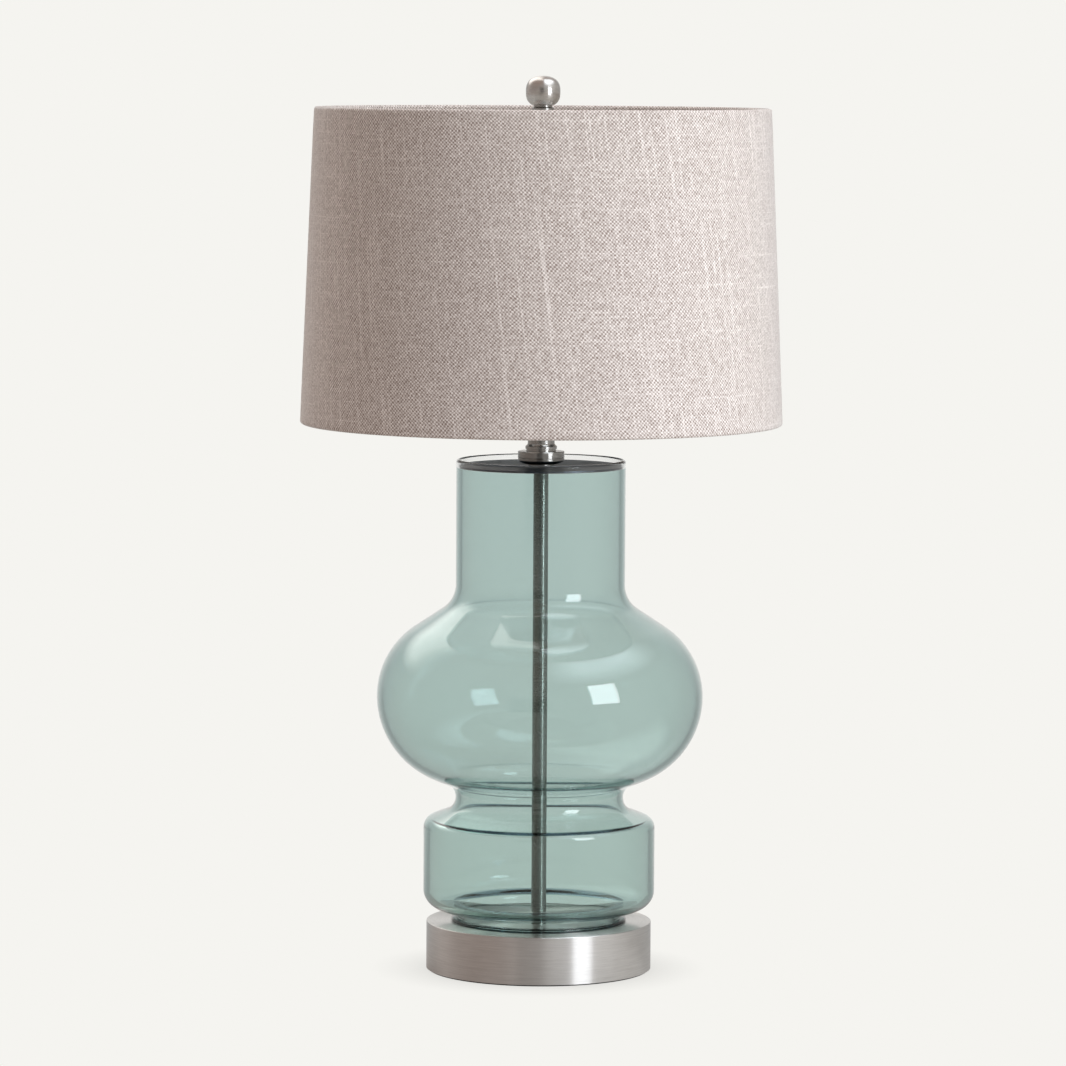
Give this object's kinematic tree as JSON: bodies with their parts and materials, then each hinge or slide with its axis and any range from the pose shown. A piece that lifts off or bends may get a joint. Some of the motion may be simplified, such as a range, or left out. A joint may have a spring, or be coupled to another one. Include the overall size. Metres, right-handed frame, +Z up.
{
  "type": "table lamp",
  "caption": "Table lamp with a tapered cloth drum shade on a harp, a curved tinted glass body round a metal pole, and a low round metal base.",
  "frame": {"origin": "on the table, at the middle of the lamp's footprint", "axes": "+Z up along the pole, -Y the front, where the switch knob points, +Y the back, where the cord leaves"},
  "size_m": [0.4062, 0.4062, 0.7555],
  "materials": {
    "brushed_nickel": "brushed satin nickel",
    "teal_glass": "clear polished glass with a sea green tint",
    "linen_cloth": "slubbed linen weave",
    "shade_backing": "matt white backing",
    "coated_wire": "white powder coat",
    "zinc_steel": "zinc plated",
    "brass_metal": "plain brass",
    "cast_weight": "as cast",
    "fibre_board": "pressed fibre",
    "felt": "needled felt",
    "black_rubber": "moulded",
    "smoke_gasket": "soft smoke grey",
    "phenolic": "moulded",
    "insulating_paper": "pressed paper",
    "lead_insulation": "extruded",
    "nut_cap_plastic": "moulded",
    "bulb_metal": "rolled thread",
    "bulb_black_glass": "glassy",
    "bulb_housing_plastic": "moulded",
    "frosted_globe": "frosted"
  },
  "bodies": {
    "lamp": {"felt_pad": "felt", "bottom_board": "fibre_board", "base_drum": "brushed_nickel", "base_weight": "cast_weight", "cord_bushing": "black_rubber", "rod_washer": "zinc_steel", "rod_lock_washer": "zinc_steel", "rod_nut": "zinc_steel", "threaded_rod": "zinc_steel", "pole_tube": "brushed_nickel", "foot_gasket": "smoke_gasket", "glass_body": "teal_glass", "neck_gasket": "smoke_gasket", "neck_plate": "brushed_nickel", "neck_collar": "brushed_nickel", "neck_spool": "brushed_nickel", "harp_saddle": "brushed_nickel", "harp_bow": "brushed_nickel", "socket_cap": "brushed_nickel", "cap_set_screw": "zinc_steel", "socket_shell": "brushed_nickel", "shell_liner": "insulating_paper", "socket_body": "phenolic", "screw_shell": "brass_metal", "centre_contact": "brass_metal", "terminal_screw_left": "brass_metal", "terminal_screw_right": "zinc_steel", "lead_left": "lead_insulation", "lead_right": "lead_insulation", "wire_nut_left": "nut_cap_plastic", "wire_nut_right": "nut_cap_plastic"},
    "switch": {"switch_shaft": "brass_metal", "switch_knob": "phenolic"},
    "sleeve_left": {"harp_sleeve_left": "brushed_nickel"},
    "sleeve_right": {"harp_sleeve_right": "brushed_nickel"},
    "bulb_carrier": {"bulb_tip": "bulb_metal"},
    "bulb": {"bulb_insulator": "bulb_black_glass", "bulb_base": "bulb_metal", "bulb_housing": "bulb_housing_plastic", "bulb_globe": "frosted_globe"},
    "harp_swivel": {"harp_stud": "brass_metal"},
    "shade": {"spider_hub": "coated_wire", "spider_arm_1": "coated_wire", "spider_arm_2": "coated_wire", "spider_arm_3": "coated_wire", "shade_top_ring": "coated_wire", "shade_bottom_ring": "coated_wire", "shade_top_hem": "linen_cloth", "shade_bottom_hem": "linen_cloth", "shade_cloth": "linen_cloth", "shade_liner": "shade_backing"},
    "finial_thread": {"finial_insert": "brass_metal"},
    "finial": {"finial_collar": "brushed_nickel", "finial_ball": "brushed_nickel"}
  },
  "joints": [
    {"name": "switch_turn", "type": "hinge", "parent": "lamp", "child": "switch", "pos_m": [0, -0.027, 0.486], "axis": [0, -1, 0], "continuous": true},
    {"name": "sleeve_left_slide", "type": "slide", "parent": "lamp", "child": "sleeve_left", "axis": [0, 0, 1], "range_m": [0, 0.016]},
    {"name": "sleeve_right_slide", "type": "slide", "parent": "lamp", "child": "sleeve_right", "axis": [0, 0, 1], "range_m": [0, 0.016]},
    {"name": "bulb_rise", "type": "slide", "parent": "lamp", "child": "bulb_carrier", "axis": [0, 0, 1], "range_m": [0, 0.02187]},
    {"name": "bulb_turn", "type": "hinge", "parent": "bulb_carrier", "child": "bulb", "pos_m": [0, 0, 0.51], "axis": [0, 0, 1], "range_deg": [0, 2160]},
    {"name": "shade_turn", "type": "hinge", "parent": "lamp", "child": "harp_swivel", "pos_m": [0, 0, 0.722], "axis": [0, 0, 1], "continuous": true},
    {"name": "shade_lift", "type": "slide", "parent": "harp_swivel", "child": "shade", "axis": [0, 0, 1], "range_m": [0, 0.28]},
    {"name": "finial_rise", "type": "slide", "parent": "shade", "child": "finial_thread", "axis": [0, 0, 1], "range_m": [0, 0.01327]},
    {"name": "finial_turn", "type": "hinge", "parent": "finial_thread", "child": "finial", "pos_m": [0, 0, 0.74], "axis": [0, 0, 1], "range_deg": [0, 5040]}
  ],
  "couplings": [
    {"joint": "bulb_rise", "follows": "bulb_turn", "m_per_rad": 0.00057757},
    {"joint": "finial_rise", "follows": "finial_turn", "m_per_rad": 0.00014972}
  ]
}
